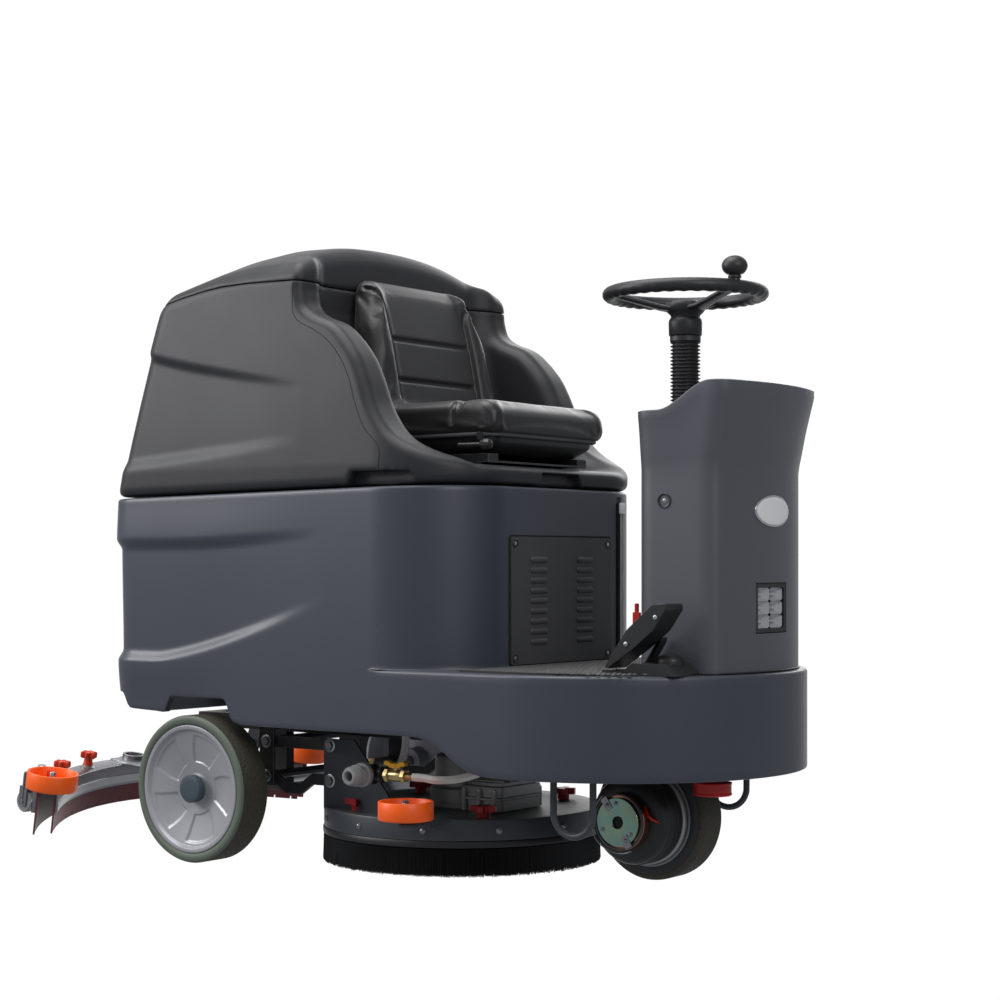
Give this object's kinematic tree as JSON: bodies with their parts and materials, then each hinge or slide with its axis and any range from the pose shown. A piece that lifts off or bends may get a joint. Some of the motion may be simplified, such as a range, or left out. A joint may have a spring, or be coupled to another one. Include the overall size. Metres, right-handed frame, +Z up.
{
  "type": "ride on floor scrubber",
  "caption": "Ride-on floor scrubber dryer with steered drive wheel, lifting disc brush deck, rear squeegee, tilting recovery tank and slideable driver's seat.",
  "frame": {"origin": "on the floor under the middle of the machine's bounding box", "axes": "+X forward (the way it drives), +Y to the driver's left, +Z up"},
  "size_m": [1.764, 0.917, 1.286],
  "materials": {
    "body_blue_grey": "rotomoulded, fine satin grain",
    "tank_charcoal": "rotomoulded, fine satin grain",
    "panel_charcoal": "smooth matt",
    "frame_paint": "powder coated, satin",
    "zinc_steel": "zinc plated",
    "stainless": "brushed",
    "chrome": "bright",
    "brass": "nickel plated",
    "cast_aluminium": "as cast",
    "black_plastic": "moulded",
    "black_rubber": "matt",
    "seat_leather": "artificial leather, soft sheen",
    "clear_plastic": "clear",
    "hose_white": "milky, slightly see-through",
    "orange_polyurethane": "moulded",
    "red_plastic": "moulded",
    "yellow_plastic": "moulded",
    "blade_rubber": "matt",
    "tyre_green": "matt",
    "drive_tyre": "matt",
    "rim_grey": "satin",
    "bristle": "nylon tufts"
  },
  "bodies": {
    "chassis": {"lower_body": "body_blue_grey", "chassis_frame": "frame_paint", "rear_axle": "zinc_steel", "battery_pack": "black_plastic", "vent_panel": "panel_charcoal", "foot_mat": "black_rubber", "level_tube": "clear_plastic", "column_shell": "body_blue_grey", "dash_panel": "panel_charcoal", "headlight_housing": "black_plastic", "headlight_lens": "clear_plastic", "column_tube": "zinc_steel", "steering_boot": "black_rubber", "steering_chain": "zinc_steel", "guard_bar_left": "frame_paint", "guard_bar_right": "frame_paint", "horn": "red_plastic", "pedal_base": "black_plastic", "filter_head": "black_plastic", "filter_bowl": "clear_plastic", "water_valve": "brass", "water_hose": "hose_white", "feed_hose": "hose_white"},
    "steering": {"steering_wheel": "black_rubber", "steering_shaft": "zinc_steel"},
    "spinner": {"spinner_knob": "black_plastic"},
    "drive_unit": {"drive_yoke": "cast_aluminium", "drive_motor": "black_plastic", "parking_brake": "chrome"},
    "front_wheel": {"drive_wheel": "drive_tyre"},
    "rear_wheel_left": {"rear_tyre_left": "tyre_green", "rear_rim_left": "rim_grey"},
    "rear_wheel_right": {"rear_tyre_right": "tyre_green", "rear_rim_right": "rim_grey"},
    "lower_link": {"lower_arm": "frame_paint"},
    "upper_link": {"upper_arm": "frame_paint"},
    "deck": {"deck_housing": "frame_paint", "deck_skirt": "black_rubber", "brush_motor": "cast_aluminium"},
    "brush": {"disc_brush": "bristle"},
    "deck_bumper": {"deck_roller": "orange_polyurethane"},
    "squeegee_lift": {"squeegee_lift_arm": "frame_paint"},
    "squeegee": {"squeegee_channel": "stainless", "rear_blade": "blade_rubber", "front_blade": "blade_rubber"},
    "bumper_left": {"squeegee_roller_left": "orange_polyurethane"},
    "bumper_right": {"squeegee_roller_right": "orange_polyurethane"},
    "tank": {"recovery_tank": "tank_charcoal", "vacuum_motor": "black_plastic", "seat_rails": "zinc_steel"},
    "lid": {"tank_lid": "tank_charcoal"},
    "seat": {"seat_cushion": "seat_leather", "seat_back": "seat_leather", "seat_pan": "zinc_steel"},
    "seat_release": {"seat_lever": "black_plastic"},
    "pedal": {"accelerator_pedal": "black_plastic"},
    "key": {"ignition_key": "chrome"},
    "switch": {"brush_switch": "black_plastic"},
    "isolator": {"battery_isolator": "red_plastic"},
    "valve": {"valve_handle": "yellow_plastic"}
  },
  "joints": [
    {"name": "steering_turn", "type": "hinge", "parent": "chassis", "child": "steering", "pos_m": [0.67, 0, 1], "axis": [0, 0, 1], "range_deg": [-180, 180]},
    {"name": "spinner_turn", "type": "hinge", "parent": "steering", "child": "spinner", "pos_m": [0.80626, -0.04959, 1.16], "axis": [0, 0, 1], "continuous": true},
    {"name": "drive_yaw", "type": "hinge", "parent": "chassis", "child": "drive_unit", "pos_m": [0.605, 0, 0.3], "axis": [0, 0, 1], "range_deg": [-80, 80]},
    {"name": "front_wheel_spin", "type": "hinge", "parent": "drive_unit", "child": "front_wheel", "pos_m": [0.605, 0.008, 0.123], "axis": [0, 1, 0], "continuous": true},
    {"name": "rear_wheel_left_spin", "type": "hinge", "parent": "chassis", "child": "rear_wheel_left", "pos_m": [-0.268, 0.353, 0.15], "axis": [0, 1, 0], "continuous": true},
    {"name": "rear_wheel_right_spin", "type": "hinge", "parent": "chassis", "child": "rear_wheel_right", "pos_m": [-0.268, -0.353, 0.15], "axis": [0, 1, 0], "continuous": true},
    {"name": "deck_lift", "type": "hinge", "parent": "chassis", "child": "lower_link", "pos_m": [-0.218, 0, 0.166], "axis": [0, -1, 0], "range_deg": [0, 6.5]},
    {"name": "upper_arm_lift", "type": "hinge", "parent": "chassis", "child": "upper_link", "pos_m": [-0.218, 0, 0.238], "axis": [0, -1, 0], "range_deg": [0, 6.5]},
    {"name": "deck_level", "type": "hinge", "parent": "lower_link", "child": "deck", "pos_m": [-0.042, 0, 0.166], "axis": [0, -1, 0], "range_deg": [-6.5, 0]},
    {"name": "brush_spin", "type": "hinge", "parent": "deck", "child": "brush", "pos_m": [0.132, 0, 0.04], "axis": [0, 0, 1], "continuous": true},
    {"name": "deck_roller_spin", "type": "hinge", "parent": "deck", "child": "deck_bumper", "pos_m": [0.262, -0.345, 0.14], "axis": [0, 0, 1], "continuous": true},
    {"name": "squeegee_raise", "type": "hinge", "parent": "chassis", "child": "squeegee_lift", "pos_m": [-0.508, 0, 0.2], "axis": [0, 1, 0], "range_deg": [-8.8, 6]},
    {"name": "squeegee_swing", "type": "hinge", "parent": "squeegee_lift", "child": "squeegee", "pos_m": [-0.62735, 0, 0.11766], "axis": [0.1564, 0, 0.9877], "range_deg": [-15, 15]},
    {"name": "bumper_left_spin", "type": "hinge", "parent": "squeegee", "child": "bumper_left", "pos_m": [-0.66601, 0.404, 0.142], "axis": [0.1564, 0, 0.9877], "continuous": true},
    {"name": "bumper_right_spin", "type": "hinge", "parent": "squeegee", "child": "bumper_right", "pos_m": [-0.66601, -0.404, 0.142], "axis": [0.1564, 0, 0.9877], "continuous": true},
    {"name": "tank_tilt", "type": "hinge", "parent": "chassis", "child": "tank", "pos_m": [-0.53, 0, 0.74], "axis": [0, -1, 0], "range_deg": [0, 50]},
    {"name": "lid_open", "type": "hinge", "parent": "tank", "child": "lid", "pos_m": [-0.4225, 0, 1.139], "axis": [0, -1, 0], "range_deg": [0, 85]},
    {"name": "seat_slide", "type": "slide", "parent": "tank", "child": "seat", "axis": [1, 0, 0], "range_m": [0, 0.05]},
    {"name": "seat_lever_lift", "type": "hinge", "parent": "seat", "child": "seat_release", "pos_m": [0.292, -0.19, 0.838], "axis": [0, -1, 0], "range_deg": [0, 18], "stiffness_Nm_per_rad": 0.8},
    {"name": "pedal_press", "type": "hinge", "parent": "chassis", "child": "pedal", "pos_m": [0.658, -0.231, 0.4255], "axis": [0, 1, 0], "range_deg": [0, 14], "stiffness_Nm_per_rad": 6, "springref_deg": -6.88},
    {"name": "key_turn", "type": "hinge", "parent": "chassis", "child": "key", "pos_m": [0.732, -0.075, 0.89], "axis": [0, 0, 1], "range_deg": [0, 90]},
    {"name": "brush_switch_press", "type": "hinge", "parent": "chassis", "child": "switch", "pos_m": [0.752, 0.083, 0.8975], "axis": [0, 1, 0], "range_deg": [0, 10], "stiffness_Nm_per_rad": 0.3},
    {"name": "isolator_pull", "type": "slide", "parent": "chassis", "child": "isolator", "axis": [-1, 0, 0], "range_m": [0, 0.018]},
    {"name": "valve_turn", "type": "hinge", "parent": "chassis", "child": "valve", "pos_m": [0.189, -0.285, 0.214], "axis": [0, 0, 1], "range_deg": [0, 90]}
  ],
  "couplings": [
    {"joint": "steering_turn", "follows": "drive_yaw", "ratio": 2.25},
    {"joint": "upper_arm_lift", "follows": "deck_lift", "ratio": 1},
    {"joint": "deck_level", "follows": "deck_lift", "ratio": -1}
  ]
}
